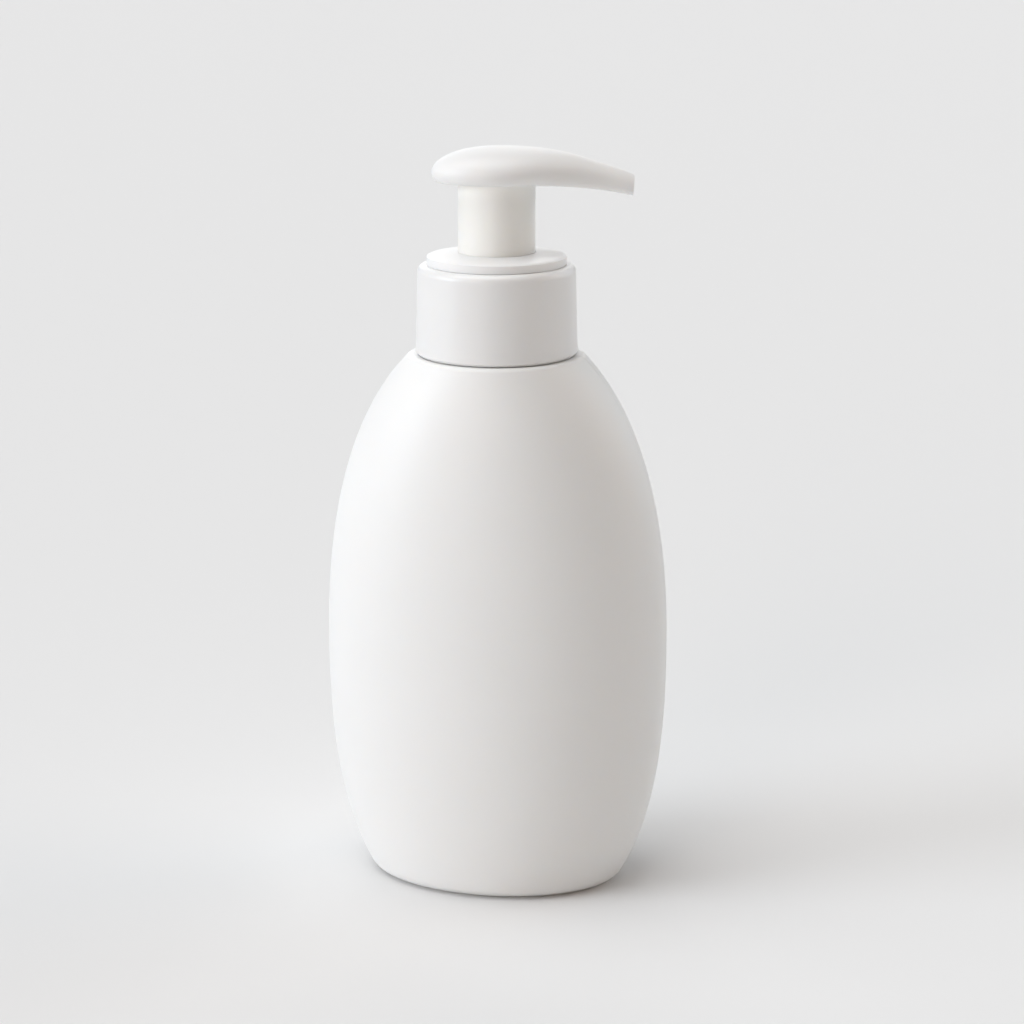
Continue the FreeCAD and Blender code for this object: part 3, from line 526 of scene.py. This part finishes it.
# %% [markdown]
# Under the base, in the hollow, the soft tube was pinched shut and cut off, which leaves a low weld
# about 45 mm long. It is a block with its lower side drawn in and its edges rounded, joined to the
# seam because both are one ridge of the same plastic.

# %% Weld
HOLLOW = 1.5 * MM        # height of the hollow under the base
WELD = (45 * MM, 1.6 * MM, 1.0 * MM)   # its length, width and height
WELD_FOOT = (0.93, 0.3)  # what is left of its length and width at its lower side
WELD_EDGE = 0.18 * MM    # rounding of its edges

begin()
bpy.ops.mesh.primitive_cube_add(size=1, location=(0, 0, HOLLOW), scale=WELD)
weld = bpy.context.object
bpy.ops.object.transform_apply()
bpy.ops.object.mode_set(mode="EDIT")
pick(weld, lambda at: at.z < HOLLOW)
bpy.ops.transform.resize(value=(*WELD_FOOT, 1), center_override=(0, 0, HOLLOW))
bpy.ops.mesh.select_all(action="SELECT")
bpy.ops.mesh.bevel(offset=WELD_EDGE, segments=2, affect="EDGES")
bpy.ops.object.mode_set(mode="OBJECT")
seam.select_set(True)
bpy.context.view_layer.objects.active = seam
bpy.ops.object.join()
settle(seam, "mould_seam", finish_bottle, "bottle", smooth=60)

# %% [markdown]
# ## The return spring
# The CAD model's spring has a plain eight-sided wire, which keeps that solid light. The real wire
# is round, its end turns lie close against the next, and both ends are ground flat so that it
# stands straight. A round outline is wound in three stages, close, open, close, the stages are
# joined, and each end is cut by a flat plane. In the pump it squeezes down onto the bushing when
# the head is pressed; here it rides on the spring's body.

# %% Wind the spring
WIRE_WIDTH = 1.1 * MM
WIRE_SIDES = 14
COIL = 6.3 * MM          # to the middle of the wire
COIL_STEPS = 40          # round one turn
CLOSE_RISE = 1.14 * MM   # rise of a closed end turn
CLOSE_TURNS, OPEN_TURNS = 1.0, 5.5
GROUND = 0.1 * MM        # the wire's middle starts this far inside the ground face

spring_low, spring_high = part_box("return_spring")
height_now, turned = spring_low.z + GROUND, 0.0
open_rise = spring_high.z - spring_low.z - 2 * GROUND - 2 * CLOSE_RISE
stages = []
for turns, rise in ((CLOSE_TURNS, CLOSE_RISE), (OPEN_TURNS, open_rise), (CLOSE_TURNS, CLOSE_RISE)):
    begin()
    angle = 2 * pi * turned
    bpy.ops.mesh.primitive_circle_add(
        vertices=WIRE_SIDES, radius=WIRE_WIDTH / 2,
        location=(COIL * cos(angle), COIL * sin(angle), height_now), rotation=(pi / 2, 0, angle))
    stage = bpy.context.object
    bpy.ops.object.transform_apply()
    wind = stage.modifiers.new("wind", "SCREW")
    wind.angle, wind.screw_offset = 2 * pi * turns, rise
    wind.steps = wind.render_steps = int(COIL_STEPS * turns)
    bpy.ops.object.modifier_apply(modifier="wind")
    stages.append(stage)
    height_now, turned = height_now + rise, turned + turns
print("the spring has", turned, "turns")

# %% Join the spring and grind its ends
for stage in stages:
    stage.select_set(True)
bpy.ops.object.join()
coil = bpy.context.object
bpy.ops.object.mode_set(mode="EDIT")
bpy.ops.mesh.select_all(action="SELECT")
bpy.ops.mesh.remove_doubles(threshold=NEAR)
bpy.ops.mesh.fill_holes(sides=0)
for level, way in ((spring_low.z, (0, 0, -1)), (spring_high.z, (0, 0, 1))):
    bpy.ops.mesh.select_all(action="SELECT")
    bpy.ops.mesh.bisect(plane_co=(0, 0, level), plane_no=way, use_fill=True, clear_outer=True,
                        threshold=SHARP)
bpy.ops.mesh.select_all(action="SELECT")
bpy.ops.mesh.normals_make_consistent(inside=False)
bpy.ops.object.mode_set(mode="OBJECT")
settle(coil, "return_coil", finish_steel, "spring")

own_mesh(coil)
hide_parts("return_spring")

# %% [markdown]
# ## The studio
# The bottle stands on a pale floor in soft daylight. A window low on the left, and a weaker panel
# nearly in front, light the near side and let it fall off slowly towards the right. A broad panel
# overhead keeps the floor bright, two more behind on the right draw a lighter line down the far
# edge, and the wall behind gives a little back. The window and the last of those two are a touch
# blue, and the panels in front and on the right are warm, which gives white plastic its grey and
# cream. Each is a lamp that acts like a very distant, very broad sun: its light is the same all
# over the floor, so the floor stays one tone except in the bottle's own shadow. The pale walls all
# round are a backdrop that only the camera and, more weakly, reflections see: it keeps the
# plastic's edges from mirroring a black room, and lights nothing.

# %% Floor
FLOOR_SIZE = 14          # metres, so that its edge is out of sight
FLOOR_TONE = (0.806, 0.806, 0.806, 1)
BOARD_GRAIN = 0.001 * MM

begin()
bpy.ops.mesh.primitive_plane_add(size=FLOOR_SIZE)
floor = bpy.context.object
floor.name = "floor"
finish_floor, place = new_finish("pale_board")
close_finish(place, colour=FLOOR_TONE, roughness=0.9, relief=place.noise(0.6 * MM) * BOARD_GRAIN,
             Specular_IOR_Level=0.1)
floor.data.materials.append(finish_floor)
print("floor tone:", FLOOR_TONE[0])

# %% Lamps
LAMPS = (                # name, degrees round from the front, degrees up, breadth, colour strengths
    ("window", -62.5, 15, 30, (1.243, 1.349, 1.463)),
    ("front_panel", -17.5, 15, 30, (0.648, 0.541, 0.464)),
    ("ceiling_panel", -67.5, 75, 50, (2.024, 2.028, 2.027)),
    ("right_panel", 112.5, 20, 45, (0.736, 0.626, 0.545)),
    ("edge_light", 142.5, 20, 45, (0.450, 0.535, 0.599)),
    ("back_wall", 192.5, 20, 45, (0.605, 0.603, 0.608)),
)
for name, turn, up, breadth, strengths in LAMPS:
    bpy.ops.object.light_add(type="SUN", rotation=(radians(90 - up), 0, radians(turn)))
    lamp = bpy.context.object
    lamp.name = lamp.data.name = name
    lamp.data.angle = radians(breadth)
    lamp.data.energy = max(strengths)
    lamp.data.color = [part / max(strengths) for part in strengths]
    print(name, "stands", turn, "degrees round and", up, "up")

# %% Backdrop
WALL_TONE = (0.787, 0.787, 0.787, 1)
IN_REFLECTIONS = 0.35    # the walls' brightness in reflections, as a share of what the camera sees

world = bpy.data.worlds.new("studio")
bpy.context.scene.world = world
world.use_nodes = True
backdrop = world.node_tree.nodes["Background"]
backdrop.inputs["Color"].default_value = WALL_TONE
seen = Wire(world.node_tree).node("ShaderNodeLightPath", take="Is Camera Ray")
mirrored = Wire(world.node_tree, seen.socket.node.outputs["Is Glossy Ray"])
world.node_tree.links.new((seen + mirrored * IN_REFLECTIONS).socket, backdrop.inputs["Strength"])
bpy.context.scene.view_settings.view_transform = "Standard"
print("backdrop tone:", WALL_TONE[0])

# %% [markdown]
# ## The end
# The box round everything should be the CAD model's own box but for the seam, which stands out a
# little at both sides. Here the scene is only brought up to date.

# %% The end
bpy.context.view_layer.update()
